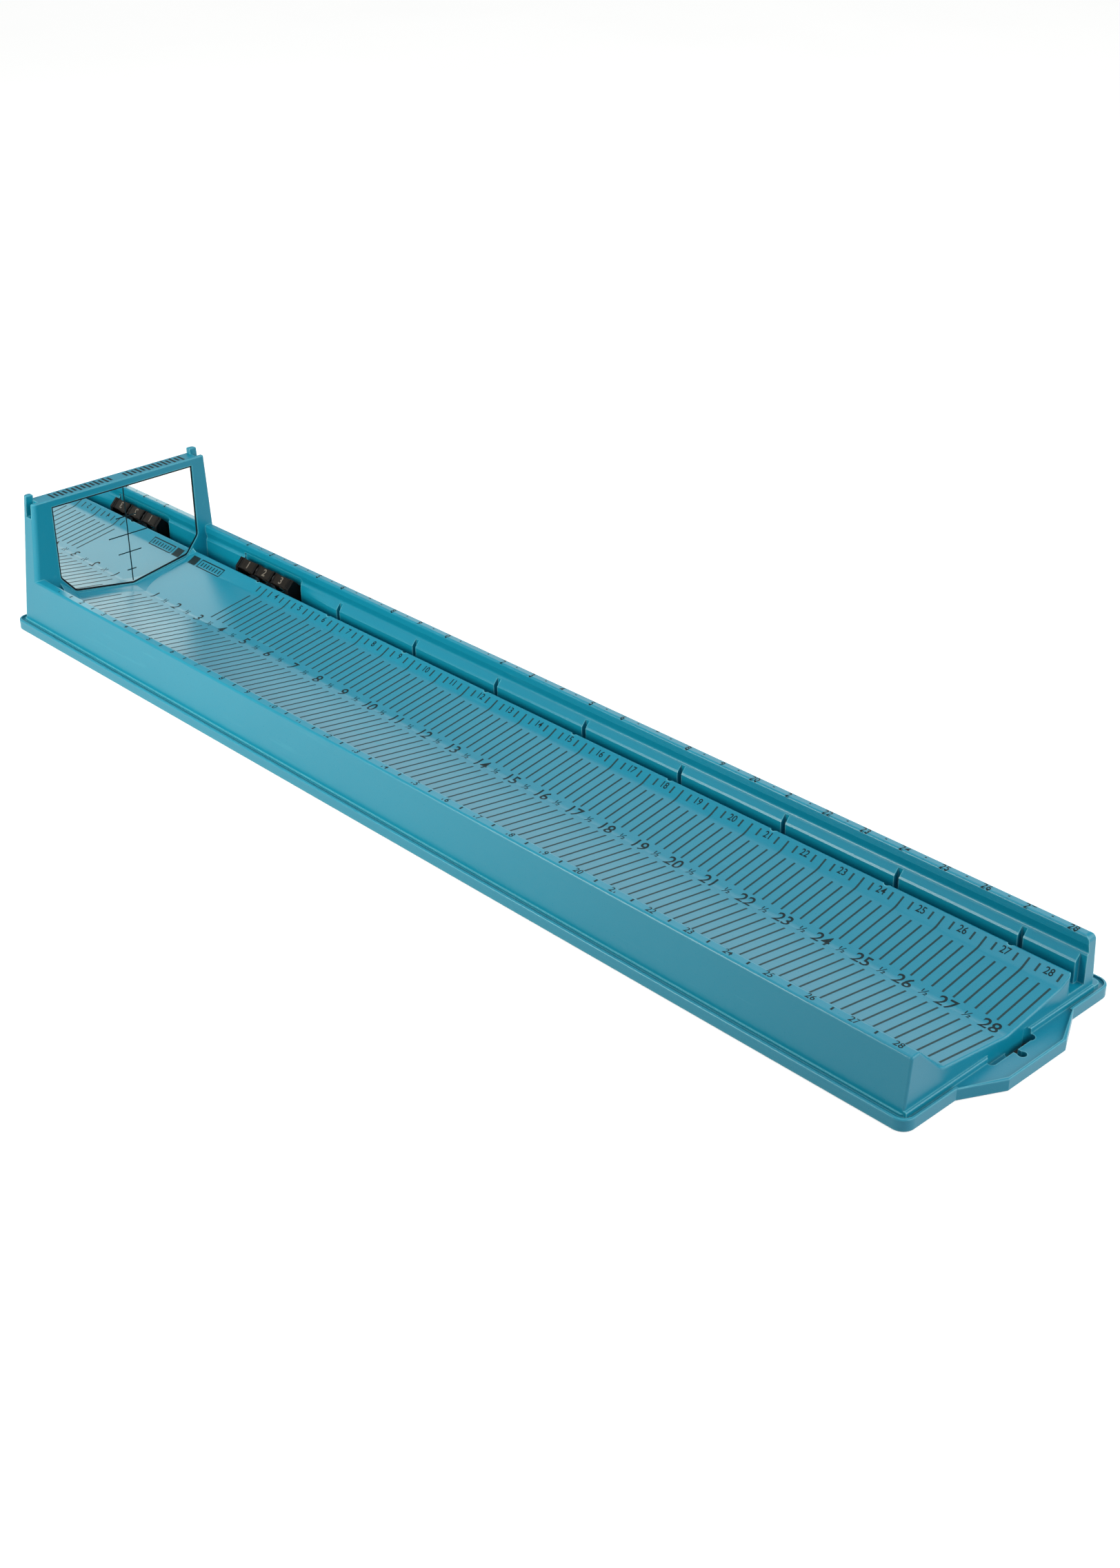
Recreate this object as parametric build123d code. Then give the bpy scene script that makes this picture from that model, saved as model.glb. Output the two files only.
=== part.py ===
from build123d import *
import os

os.makedirs("parts", exist_ok=True)

# Fish measuring board: a moulded V tray with a mirror wall at the scale's zero,
# a closed float chamber underneath and three ID wheels in the rear channel.
# Units are millimetres. X runs along the scale from zero, Y towards the fence,
# Z up. The origin is under the scale's zero, on the tray's valley line, at the base.

INCH = 25.4

# Lengths along the scale
TRAY_END = 721.5          # open end of the tray, just past the 28 inch line
WALL_FOOT_X = -14.6       # rear face of the mirror wall at the flange
WALL_TOP_X = -10.4        # rear face of the mirror wall at its top
WALL_X = 2.0              # front face of the mirror wall
FLANGE_X0 = -19.5
FLANGE_X1 = 726.0
TAB_REACH = 12.0          # leash tab beyond the flange
TAB_Y = 2.0
TAB_BASE_HALF = 45.0
TAB_TIP_HALF = 22.0

# Flange under the walls
FLANGE_Y0 = -79.5
FLANGE_Y1 = 79.0
FLANGE_H = 7.0
FLANGE_CORNER_R = 7.0
LIP_W = 1.3               # raised lip round flange and tab
GROOVE_W = 2.6
GROOVE_DEPTH = 1.4
PLINTH_X = 722.8          # low step at the foot of the open end
PLINTH_Z = 8.6

# Tray and wall profile, as (y, z)
FRONT_DRAFT = 0.0917      # the outer faces lean in by this much per millimetre of height
BACK_DRAFT = 0.085
FRONT_FOOT_Y = -75.0
BACK_FOOT_Y = 68.5
RIM_Z = 36.4
RIM_INNER_Y = -66.5
STEEP_FOOT = (-48.8, 19.1)
VALLEY = (0.0, 12.0)
FOLD = (41.0, 19.0)
BACK_EDGE = (50.5, 24.0)
CHANNEL_Y0 = 51.0
CHANNEL_FLOOR_Z = 12.0
FENCE_Y = 60.5
FENCE_TOP_Z = 38.7
CREASE_Z = 34.0
COVE = (61.6, 29.4)
LEDGE_Y = 57.2
LEDGE_EDGE_Z = 24.8
LEDGE_TOP_Z = 28.0
LEDGE_X0 = 107.0          # the ledge grows out of the fence from here
LEDGE_FULL_X = 142.0
LEDGE_X1 = 717.5
NOTCH_PITCH = 3 * INCH
NOTCH_R = 2.2
NOTCH_Y = 50.8
CORNER_R = 4.5            # tray corner beside the channel, seen from above
EDGE_ROUND = 0.9
END_ROUND = 1.3           # rounding of the tray's open end
CUT_W = 3.0
FENCE_END_R = 3.5         # rounding of the fence's top corner at the open end

# Leash hole in the tab
HOLE_X = 723.75           # middle of the slot along the wall's foot
HOLE_W = 4.5
HOLE_Y0 = 0.2             # middle of the slot's rounded end
HOLE_Y1 = 14.6
HOLE_LOBE_R = 2.9
HOLE_BRANCH = (729.6, 1.2)
HOLE_BRANCH_R = 2.3
SCOOP_Y0 = -14.0          # shallow finger pocket beside the slot
SCOOP_Z = 2.6

# Hollow chamber under the tray
SKIN = 3.0
CHAMBER_X0 = 4.0
CHAMBER_X1 = 713.0
POCKETS = 5
RIB = 3.0
CHAMBER_ROOF_Z = CHANNEL_FLOOR_Z - SKIN

# Bottom cover, its seal and screws
SEAT = (2.0, 714.5, -76.0, 74.0)
SEAT_DEPTH = 4.0
PLATE_T = 3.0
SEAL_W = 1.6              # width of the seal along the ends
FIT = 0.3
BOSS_R = 4.0
FLOAT_GAP = 0.6
FLOAT_END = 8.2           # clears the screw bosses
END_BOSS = 3.0            # how far the end screws stand inside the chamber
PILOT_R = 1.5
SCREW_R = 1.45
SCREW_L = 7.5
SCREW_HEAD_R = 3.0
SCREW_HEAD_H = 1.6
SCREW_ROWS = (-58.0, 56.0)

# Mirror wall
BAR_Z = 88.4
EAR_Z = 92.2
EAR_W = 5.2
EAR_X = -6.3               # the ears stand on the rear part of the wall only
WALL_ROUND = 0.8
WALL_BACK_DRAFT = 0.048
WALL_REAR_R = 2.5
WALL_NEAR_R = 3.0
WALL_FAR_R = 1.2
SLOT_X = -3.5             # open slots at the wall's ends, in front of the ears
SLOT_W = 5.6
SLOT_IN = 5.0
SLOT_Z = 78.5
MIRROR_X = 1.2            # mirror face, a little behind the wall's front
MIRROR_HALF = 53.2
MIRROR_TOP = 82.4
MIRROR_SHOULDER_Z = 34.0
MIRROR_CORNER = (43.5, 22.6)
MIRROR_V_Z = 15.2
MIRROR_T = 3.0
PAD_T = 1.0
PAD_INSET = 2.0
BORDER_W = 1.2
SILL_X = 16.5
SILL_DROP = 1.4            # the sill starts this much under the mirror's edge

# ID wheels in the channel
WHEEL_Y = 56.4
WHEEL_Z = 25.8
WHEEL_SIDES = 4            # at rest one flat faces forward and up
WHEEL_R = 5.4             # over the corners of the barrel
WHEEL_L = 16.4
COLLAR_W = 1.6
FACE_SINK = 0.45          # the number faces lie this much inside the collars
WHEEL_PITCH = 18.2
WHEEL_X0 = 51.4
WHEELS = 3
AXLE_R = 1.5
BORE_R = 1.56
CHEEK_T = 2.2
SIDE_GAP = 0.5
CRADLE_H = 4.4            # thickness of the carrier's floor, up from the channel
SPRING_T = 0.5
SPRING_W = 4.0
AXLE_IN = 0.8             # the axle ends this far inside the cheeks' outer faces
BAY_CLEAR = 0.45
COLLAR_EDGE = 0.35
CHEEK_IN = 0.15           # the cheeks stay this much inside the wheels' outline
SPACER_R = 2.8
SPACER_GAP = 0.3
SPRING_IN = 2.0           # a spring starts this far inside its wheel's end
SPRING_GAP = 0.35

# Cover, seal and screw details
SEAT_R = 3.0
PLATE_R = 2.7
SEAL_FRONT_W = 3.4
SEAL_BACK_W = 6.0
SEAL_IN_R = 2.0
SCREW_SINK = 0.2
CROSS_L = 2.0             # half length of a screw's cross recess
CROSS_W = 0.35
CROSS_TOP = 0.9

# Pockets in the back of the mirror wall
REAR_POCKET_X = -7.5
REAR_POCKETS_Y = ((-52, -18), (-16, 16), (18, 52))
REAR_POCKET_Z = (22, 80)


def front_y(z):
    return FRONT_FOOT_Y + FRONT_DRAFT * (z - FLANGE_H)


def back_y(z):
    return BACK_FOOT_Y - BACK_DRAFT * (z - FLANGE_H)


def wall_back_y(z):
    return BACK_FOOT_Y - WALL_BACK_DRAFT * (z - FLANGE_H)


def yz_face(points):
    """Closed face in the YZ plane from (y, z) points."""
    return make_face(Polyline(*[(0, y, z) for y, z in points], close=True))


def run(points, x0, x1):
    """Prism of a YZ outline from x0 to x1."""
    return extrude(Pos(x0, 0, 0) * yz_face(points), amount=x1 - x0, dir=(1, 0, 0))


def block(x0, x1, y0, y1, z0, z1):
    return Pos((x0 + x1) / 2, (y0 + y1) / 2, (z0 + z1) / 2) * Box(x1 - x0, y1 - y0, z1 - z0)


def rod_x(x0, x1, y, z, r):
    return Pos((x0 + x1) / 2, y, z) * Rot(0, 90, 0) * Cylinder(r, x1 - x0)


def rod_z(x, y, z0, z1, r):
    return Pos(x, y, (z0 + z1) / 2) * Cylinder(r, z1 - z0)


def plate(x0, x1, y0, y1, z0, z1, r):
    """Flat slab with rounded upright corners."""
    outline = Pos((x0 + x1) / 2, (y0 + y1) / 2, z0) * RectangleRounded(x1 - x0, y1 - y0, r)
    return extrude(outline, amount=z1 - z0)


def body_face():
    """Section of tray, channel and fence; each corner is (y, z, rounding radius)."""
    corners = [
        (front_y(0), 0, 0),
        (front_y(RIM_Z), RIM_Z, 1.6),
        (RIM_INNER_Y, RIM_Z + 0.2, 1.8),
        (*STEEP_FOOT, 8.0),
        (*VALLEY, 10.0),
        (*FOLD, 10.0),
        (*BACK_EDGE, 1.2),
        (CHANNEL_Y0, CHANNEL_FLOOR_Z, 0),
        (FENCE_Y, CHANNEL_FLOOR_Z, 0),
        (FENCE_Y, LEDGE_TOP_Z, 0),
        (*COVE, 2.0),
        (FENCE_Y, CREASE_Z, 0.8),
        (FENCE_Y, FENCE_TOP_Z, 1.3),
        (back_y(FENCE_TOP_Z), FENCE_TOP_Z, 1.3),
        (back_y(0), 0, 0),
    ]
    face = yz_face([(y, z) for y, z, _ in corners])
    for y, z, radius in corners:
        if radius:
            corner = face.vertices().sort_by_distance((0, y, z))[0]
            face = fillet(corner, radius)
    return face


def body():
    """Prism of the section with a rounded open end."""
    prism = extrude(Pos(-6.0, 0, 0) * body_face(), amount=TRAY_END + 6.0, dir=(1, 0, 0))
    end = prism.edges().filter_by(lambda e: e.bounding_box().min.X > TRAY_END - 0.01)
    top = end.filter_by(lambda e: e.bounding_box().min.Z > CHANNEL_FLOOR_Z - 1)
    tray = top.filter_by(lambda e: e.bounding_box().max.Y < BACK_EDGE[0] + 0.2)
    prism = fillet(tray, END_ROUND)
    corner = block(TRAY_END - CORNER_R, TRAY_END + 1, CHANNEL_Y0 - CORNER_R, CHANNEL_Y0 + 0.01,
                   CHANNEL_FLOOR_Z, BACK_EDGE[1] + 1)
    corner -= rod_z(TRAY_END - CORNER_R, CHANNEL_Y0 - CORNER_R, 0, FENCE_TOP_Z, CORNER_R)
    x, z = TRAY_END - FENCE_END_R, FENCE_TOP_Z - FENCE_END_R
    top_corner = block(x, TRAY_END + 1, CHANNEL_Y0, FLANGE_Y1, z, FENCE_TOP_Z + 1)
    top_corner -= Pos(x, FENCE_Y, z) * Rot(90, 0, 0) * Cylinder(FENCE_END_R, 4 * CHANNEL_FLOOR_Z)
    return prism - corner - top_corner


def chamber_profile(gap=0.0, floor_z=-1.0):
    """Inside of the float chamber, drawn in by gap."""
    return [
        (front_y(0) + SKIN + gap, floor_z),
        (front_y(RIM_Z) + SKIN + gap, RIM_Z - SKIN - gap),
        (RIM_INNER_Y - 1.0 - gap, RIM_Z - SKIN - gap),
        (STEEP_FOOT[0] - 1.0 - gap, STEEP_FOOT[1] - SKIN - gap),
        (VALLEY[0], VALLEY[1] - SKIN - gap),
        (FOLD[0], FOLD[1] - SKIN - gap),
        (BACK_EDGE[0] - SKIN - gap, BACK_EDGE[1] - 4.6 - gap),
        (BACK_EDGE[0] - SKIN + 0.6 - gap, CHAMBER_ROOF_Z - gap),
        (BACK_FOOT_Y - SKIN - gap, CHAMBER_ROOF_Z - gap),
        (BACK_FOOT_Y - SKIN - gap, floor_z),
    ]


def pocket_spans():
    """X range of each float pocket between the ribs."""
    pitch = (CHAMBER_X1 - CHAMBER_X0 + RIB) / POCKETS
    return [(CHAMBER_X0 + i * pitch, CHAMBER_X0 + (i + 1) * pitch - RIB) for i in range(POCKETS)]


def screw_points():
    """Screws at the ends and on each rib, in two rows."""
    spans = pocket_spans()
    xs = [CHAMBER_X0 + END_BOSS] + [a[1] + RIB / 2 for a in spans[:-1]] + [CHAMBER_X1 - END_BOSS]
    return [(x, y) for x in xs for y in SCREW_ROWS]


def tab_outline(inset=0.0):
    x0 = FLANGE_X1 - 6.0
    x1 = FLANGE_X1 + TAB_REACH - inset
    base = TAB_BASE_HALF - inset
    tip = TAB_TIP_HALF - inset
    outline = Polyline(
        (x0, TAB_Y - base),
        (FLANGE_X1, TAB_Y - base),
        (x1, TAB_Y - tip),
        (x1, TAB_Y + tip),
        (FLANGE_X1, TAB_Y + base),
        (x0, TAB_Y + base),
        close=True,
    )
    return make_face(outline)


def flange():
    """Skirted flange and leash tab: a raised lip all round, a sunk groove and tab top inside it."""
    slab = plate(FLANGE_X0, FLANGE_X1, FLANGE_Y0, FLANGE_Y1, 0, FLANGE_H, FLANGE_CORNER_R)
    slab += extrude(tab_outline(), amount=FLANGE_H)
    slab = fillet(slab.faces().sort_by(Axis.Z)[-1].edges(), EDGE_ROUND)
    slab = fillet(slab.faces().sort_by(Axis.Z)[0].edges(), EDGE_ROUND)
    floor = FLANGE_H - GROOVE_DEPTH
    sunk = plate(
        FLANGE_X0 + LIP_W, FLANGE_X1 - LIP_W, FLANGE_Y0 + LIP_W, FLANGE_Y1 - LIP_W,
        floor, FLANGE_H + 1, FLANGE_CORNER_R - LIP_W,
    )
    sunk += Pos(0, 0, floor) * extrude(tab_outline(LIP_W), amount=GROOVE_DEPTH + 1)
    inset = LIP_W + GROOVE_W
    island = plate(
        FLANGE_X0 + inset, FLANGE_X1 - inset, FLANGE_Y0 + inset, FLANGE_Y1 - inset,
        floor - 1, FLANGE_H + 2, FLANGE_CORNER_R - inset,
    )
    plinth = block(SEAT[1] - 1, PLINTH_X, front_y(PLINTH_Z), back_y(PLINTH_Z), SEAT_DEPTH, PLINTH_Z)
    rim = plinth.edges().filter_by(
        lambda e: e.center().X > PLINTH_X - 0.01 and e.center().Z > PLINTH_Z - 0.01
    )
    return slab - (sunk - island) + fillet(rim, EDGE_ROUND)


def wall_solid():
    """Upright mirror wall, narrowing upwards on its three outer sides."""
    def section(z, x_back):
        y0, y1 = front_y(z), wall_back_y(z)
        return Pos((x_back + WALL_X) / 2, (y0 + y1) / 2, z) * Rectangle(WALL_X - x_back, y1 - y0)

    lean = (WALL_TOP_X - WALL_FOOT_X) / (BAR_Z - FLANGE_H)
    foot = section(0, WALL_FOOT_X - lean * FLANGE_H)
    top = section(EAR_Z, WALL_FOOT_X + lean * (EAR_Z - FLANGE_H))
    wall = loft([foot, top])
    for x, y, radius in (
        (WALL_TOP_X, front_y(BAR_Z), WALL_REAR_R),
        (WALL_TOP_X, wall_back_y(BAR_Z), WALL_REAR_R),
        (WALL_X, front_y(BAR_Z), WALL_NEAR_R),
        (WALL_X, wall_back_y(BAR_Z), WALL_FAR_R),
    ):
        upright = wall.edges().filter_by(lambda e: e.bounding_box().size.Z > EAR_Z - 1)
        wall = fillet(upright.sort_by_distance((x, y, BAR_Z))[0], radius)
    wall -= block(-20, 5, front_y(EAR_Z) + EAR_W, wall_back_y(EAR_Z) - EAR_W, BAR_Z, EAR_Z + 1)
    wall -= block(EAR_X, 5, front_y(0) - 5, BACK_FOOT_Y + 5, BAR_Z, EAR_Z + 1)
    ears = wall.edges().filter_by(lambda e: e.bounding_box().min.Z > EAR_Z - 0.01)
    wall = fillet(ears, WALL_ROUND)
    level = wall.edges().filter_by(lambda e: abs(e.center().Z - BAR_Z) < 0.01)
    wall = fillet(level.filter_by(lambda e: e.length > 5 * EAR_W), WALL_ROUND)
    for outer, inner in (
        (front_y(0) - 1, front_y(BAR_Z) + SLOT_IN),
        (wall_back_y(BAR_Z) - SLOT_IN, BACK_FOOT_Y + 1),
    ):
        wall -= block(SLOT_X - SLOT_W / 2, SLOT_X + SLOT_W / 2, outer, inner, SLOT_Z, EAR_Z + 1)
    return wall


def mirror_outline(x, grow=0.0):
    """Mirror face: flat top, straight sides, clipped lower corners and a shallow V foot."""
    half = MIRROR_HALF + grow
    cy = MIRROR_CORNER[0] + grow * 0.5
    points = [
        (-half, MIRROR_TOP + grow),
        (half, MIRROR_TOP + grow),
        (half, MIRROR_SHOULDER_Z - grow * 0.3),
        (cy, MIRROR_CORNER[1] - grow),
        (0, MIRROR_V_Z - grow),
        (-cy, MIRROR_CORNER[1] - grow),
        (-half, MIRROR_SHOULDER_Z - grow * 0.3),
    ]
    face = yz_face(points)
    low = [v for v in face.vertices() if v.Z < MIRROR_SHOULDER_Z + 1 and abs(v.Y) > 1]
    return Pos(x, 0, 0) * fillet(low, 4.0 + grow)


def mirror_prism(x0, x1, grow=0.0):
    return extrude(mirror_outline(x0, grow), amount=x1 - x0, dir=(1, 0, 0))


def sill():
    """Ramp from the tray up to the mirror's lower edge; it runs out first at the tray's sides."""
    half = 49.0
    base = VALLEY[1] - 1.5
    corner = MIRROR_CORNER[0]
    high = [
        (-MIRROR_HALF - 2.0, MIRROR_SHOULDER_Z - SILL_DROP),
        (-corner, MIRROR_CORNER[1] - SILL_DROP),
        (0, MIRROR_V_Z - SILL_DROP),
        (corner, MIRROR_CORNER[1] - SILL_DROP),
        (half, BACK_EDGE[1] + 2.5),
    ]
    low = [
        (-MIRROR_HALF - 2.0, STEEP_FOOT[1] - 1.0),
        (-corner, VALLEY[1] + 1.1),
        (0, VALLEY[1] - 0.05),
        (corner, VALLEY[1] + 1.1),
        (half, FOLD[1] - 1.0),
    ]
    far = yz_face([(high[0][0], base)] + high + [(half, base)])
    near = yz_face([(low[0][0], base)] + low + [(half, base)])
    return loft([Pos(-0.5, 0, 0) * far, Pos(SILL_X, 0, 0) * near], ruled=True)


def ledge():
    """Rounded shelf along the foot of the fence, cut through every three inches."""
    def section(edge_y):
        return [
            (edge_y, CHANNEL_FLOOR_Z - 0.5),
            (edge_y, LEDGE_EDGE_Z - 0.8),
            (edge_y + 0.2 * (FENCE_Y - edge_y), LEDGE_EDGE_Z + 0.3),
            (FENCE_Y, LEDGE_TOP_Z),
            (FENCE_Y + 0.8, LEDGE_TOP_Z),
            (FENCE_Y + 0.8, CHANNEL_FLOOR_Z - 0.5),
        ]

    shelf = run(section(LEDGE_Y), LEDGE_FULL_X, LEDGE_X1)
    thin = Pos(LEDGE_X0, 0, 0) * yz_face(section(FENCE_Y - 0.3))
    full = Pos(LEDGE_FULL_X + 0.01, 0, 0) * yz_face(section(LEDGE_Y))
    shelf += loft([thin, full], ruled=True)
    for i in range(2, 10):
        x = i * NOTCH_PITCH
        shelf -= block(x - CUT_W / 2, x + CUT_W / 2, LEDGE_Y - 1, FENCE_Y, CHANNEL_FLOOR_Z, LEDGE_TOP_Z + 1)
    return shelf


def wheel_bay():
    """Room for the wheels: the fence is relieved beside them."""
    x0 = WHEEL_X0 - 5.0
    x1 = WHEEL_X0 + (WHEELS - 1) * WHEEL_PITCH + WHEEL_L + 5.0
    half = WHEEL_R + BAY_CLEAR
    return block(x0, x1, WHEEL_Y - half, WHEEL_Y + half, CHANNEL_FLOOR_Z, WHEEL_Z + WHEEL_R + 0.5)


def slot_z(x0, x1, y0, y1, z0, z1):
    """Upright slot along Y with rounded far and near ends."""
    r = (x1 - x0) / 2
    x = (x0 + x1) / 2
    return block(x0, x1, y0, y1, z0, z1) + rod_z(x, y0, z0, z1, r) + rod_z(x, y1, z0, z1, r)


def leash_hole():
    """Slot at the wall's foot with a round end, a branch towards the tip and a shallow finger pocket."""
    x0, x1 = HOLE_X - HOLE_W / 2, HOLE_X + HOLE_W / 2
    top = PLINTH_Z + 1
    hole = slot_z(x0, x1, HOLE_Y0, HOLE_Y1, -1, top)
    hole += rod_z(HOLE_X, HOLE_Y1, -1, top, HOLE_LOBE_R)
    bx, by = HOLE_BRANCH
    hole += rod_z(bx, by, -1, top, HOLE_BRANCH_R)
    hole += block(HOLE_X, bx, by - HOLE_BRANCH_R * 0.7, by + HOLE_BRANCH_R * 0.7, -1, top)
    return hole + slot_z(x0, x1, SCOOP_Y0, HOLE_Y0, SCOOP_Z, top)


def shell():
    """The one moulded body: tray, walls, fence, mirror wall, flange and tab."""
    solid = body()
    solid += wall_solid()
    solid += flange()
    solid += ledge()
    solid += sill()
    solid -= mirror_prism(MIRROR_X - MIRROR_T - PAD_T, WALL_X + 1, BORDER_W)
    for i in range(1, 10):
        solid -= rod_z(i * NOTCH_PITCH, NOTCH_Y, CHANNEL_FLOOR_Z, BACK_EDGE[1] + 3, NOTCH_R)
    solid -= wheel_bay()
    solid -= plate(SEAT[0], SEAT[1], SEAT[2], SEAT[3], -1, SEAT_DEPTH, SEAT_R)
    for x0, x1 in pocket_spans():
        solid -= run(chamber_profile(), x0, x1)
    for x, y in screw_points():
        solid += rod_z(x, y, PLATE_T, CHAMBER_ROOF_Z + 0.5, BOSS_R)
        solid -= rod_z(x, y, PLATE_T - 1, PLATE_T + SCREW_L - 2.0, PILOT_R)
    solid -= leash_hole()
    for y0, y1 in REAR_POCKETS_Y:
        solid -= block(FLANGE_X0 - 1, REAR_POCKET_X, y0, y1, *REAR_POCKET_Z)
    return solid


def base_plate():
    cover = plate(
        SEAT[0] + FIT, SEAT[1] - FIT, SEAT[2] + FIT, SEAT[3] - FIT, 0, PLATE_T, PLATE_R
    )
    for x, y in screw_points():
        cover -= rod_z(x, y, -1, PLATE_T + 1, SCREW_R + 0.2)
        cover -= rod_z(x, y, -1, SCREW_HEAD_H + 0.2, SCREW_HEAD_R + 0.2)
    return cover


def base_seal():
    """Flat ring clamped between the cover and the body."""
    x0, x1, y0, y1 = SEAT
    ring = plate(x0 + FIT, x1 - FIT, y0 + FIT, y1 - FIT, PLATE_T, SEAT_DEPTH, PLATE_R)
    ring -= plate(
        x0 + SEAL_W, x1 - SEAL_W, y0 + SEAL_FRONT_W, y1 - SEAL_BACK_W, PLATE_T - 1, SEAT_DEPTH + 1, SEAL_IN_R
    )
    for x, y in screw_points():
        ring -= rod_z(x, y, PLATE_T - 1, SEAT_DEPTH + 1, BOSS_R + 0.1)
    return ring


def base_screws():
    group = None
    for x, y in screw_points():
        screw = rod_z(x, y, SCREW_SINK, SCREW_SINK + SCREW_HEAD_H, SCREW_HEAD_R)
        screw += rod_z(x, y, SCREW_SINK + SCREW_HEAD_H, SCREW_L, SCREW_R)
        screw -= block(x - CROSS_L, x + CROSS_L, y - CROSS_W, y + CROSS_W, 0, CROSS_TOP)
        screw -= block(x - CROSS_W, x + CROSS_W, y - CROSS_L, y + CROSS_L, 0, CROSS_TOP)
        group = screw if group is None else Compound([*group.solids(), *screw.solids()])
    return group


def float_block(span):
    """Closed-cell foam that fills one pocket."""
    points = chamber_profile(FLOAT_GAP, SEAT_DEPTH + 0.4)
    return run(points, span[0] + FLOAT_END, span[1] - FLOAT_END)


def mirror_panel():
    return mirror_prism(MIRROR_X - MIRROR_T, MIRROR_X)


def mirror_border():
    """Black frame strip round the mirror's edge."""
    strip = mirror_prism(MIRROR_X - MIRROR_T, MIRROR_X, BORDER_W)
    return strip - mirror_prism(MIRROR_X - MIRROR_T - 1, MIRROR_X + 1)


def mirror_pad():
    return mirror_prism(MIRROR_X - MIRROR_T - PAD_T, MIRROR_X - MIRROR_T, -PAD_INSET)


def bar_shape(x0, x1, radius):
    """Bar along X with a corner at the top and one at the front."""
    outline = Plane.YZ * Pos(WHEEL_Y, WHEEL_Z) * RegularPolygon(radius, WHEEL_SIDES)
    return extrude(Pos(x0, 0, 0) * outline, amount=x1 - x0, dir=(1, 0, 0))


def wheel(i):
    """Four-sided barrel with a raised collar at each end."""
    x0 = WHEEL_X0 + i * WHEEL_PITCH
    barrel = bar_shape(x0 + 1, x0 + WHEEL_L - 1, WHEEL_R - FACE_SINK)
    for start in (x0, x0 + WHEEL_L - COLLAR_W):
        collar = bar_shape(start, start + COLLAR_W, WHEEL_R)
        ends = collar.faces().sort_by(Axis.X)
        barrel += chamfer(ends[0].edges() + ends[-1].edges(), COLLAR_EDGE)
    return barrel - rod_x(x0 - 1, x0 + WHEEL_L + 1, WHEEL_Y, WHEEL_Z, BORE_R)


def wheel_span():
    return WHEEL_X0, WHEEL_X0 + (WHEELS - 1) * WHEEL_PITCH + WHEEL_L


def id_cradle():
    """Drop-in carrier: a floor strip with a cheek at each end that holds the axle."""
    x0, x1 = wheel_span()
    a = x0 - SIDE_GAP - CHEEK_T
    b = x1 + SIDE_GAP + CHEEK_T
    half = WHEEL_R - CHEEK_IN
    frame = block(a, b, WHEEL_Y - half, WHEEL_Y + half, CHANNEL_FLOOR_Z, CHANNEL_FLOOR_Z + CRADLE_H)
    for start in (a, x1 + SIDE_GAP):
        cheek = block(start, start + CHEEK_T, WHEEL_Y - half, WHEEL_Y + half, CHANNEL_FLOOR_Z, WHEEL_Z)
        cheek += bar_shape(start, start + CHEEK_T, WHEEL_R - CHEEK_IN)
        frame += cheek
    end = AXLE_IN
    return frame - rod_x(a + end, b - end, WHEEL_Y, WHEEL_Z, AXLE_R)


def wheel_axle():
    x0, x1 = wheel_span()
    reach = SIDE_GAP + CHEEK_T - AXLE_IN
    return rod_x(x0 - reach, x1 + reach, WHEEL_Y, WHEEL_Z, AXLE_R)


def wheel_spacer(i):
    """Thin washer between two wheels."""
    start = WHEEL_X0 + i * WHEEL_PITCH + WHEEL_L + SPACER_GAP
    t = WHEEL_PITCH - WHEEL_L - 2 * SPACER_GAP
    ring = rod_x(start, start + t, WHEEL_Y, WHEEL_Z, SPACER_R)
    return ring - rod_x(start - 1, start + t + 1, WHEEL_Y, WHEEL_Z, AXLE_R)


def detent_spring(i):
    """Bowed leaf under a wheel that clicks on its flats."""
    x0 = WHEEL_X0 + i * WHEEL_PITCH + SPRING_IN
    x1 = x0 + WHEEL_L - 2 * SPRING_IN
    floor = CHANNEL_FLOOR_Z + CRADLE_H
    top = WHEEL_Z - WHEEL_R - SPRING_GAP
    mid = (x0 + x1) / 2
    t = SPRING_T
    arc = ThreePointArc((x0, 0, floor), (mid, 0, top - t), (x1, 0, floor))
    outer = ThreePointArc((x1, 0, floor + t), (mid, 0, top), (x0, 0, floor + t))
    side_b = Line((x1, 0, floor), (x1, 0, floor + t))
    side_a = Line((x0, 0, floor + t), (x0, 0, floor))
    face = make_face([arc, side_b, outer, side_a])
    return extrude(Pos(0, WHEEL_Y + SPRING_W / 2, 0) * face, amount=SPRING_W, dir=(0, -1, 0))


def save(name, shape):
    export_step(shape, f"parts/{name}.step")


save("tray_shell", shell())
save("base_plate", base_plate())
save("base_seal", base_seal())
save("base_screws", base_screws())
for number, span in enumerate(pocket_spans(), start=1):
    save(f"float_block_{number}", float_block(span))
save("mirror_panel", mirror_panel())
save("mirror_border", mirror_border())
save("mirror_pad", mirror_pad())
for number in range(WHEELS):
    save(f"id_wheel_{number + 1}", wheel(number))
    save(f"detent_spring_{number + 1}", detent_spring(number))
for number in range(WHEELS - 1):
    save(f"wheel_spacer_{number + 1}", wheel_spacer(number))
save("id_cradle", id_cradle())
save("wheel_axle", wheel_axle())
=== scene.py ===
# %% [markdown]
# # A fish measuring board
# The board is one long moulding in teal plastic: a shallow V tray with an inch scale printed in
# it, a fence behind, a mirror wall at zero and a leash tab at the open end. This lesson takes the
# finished solids as they are and gives them their plastics, their printing and their light.

# %% Load the solids
import math

import bmesh
import bpy
from mathutils import Matrix, Vector
from mathutils.bvhtree import BVHTree


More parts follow.
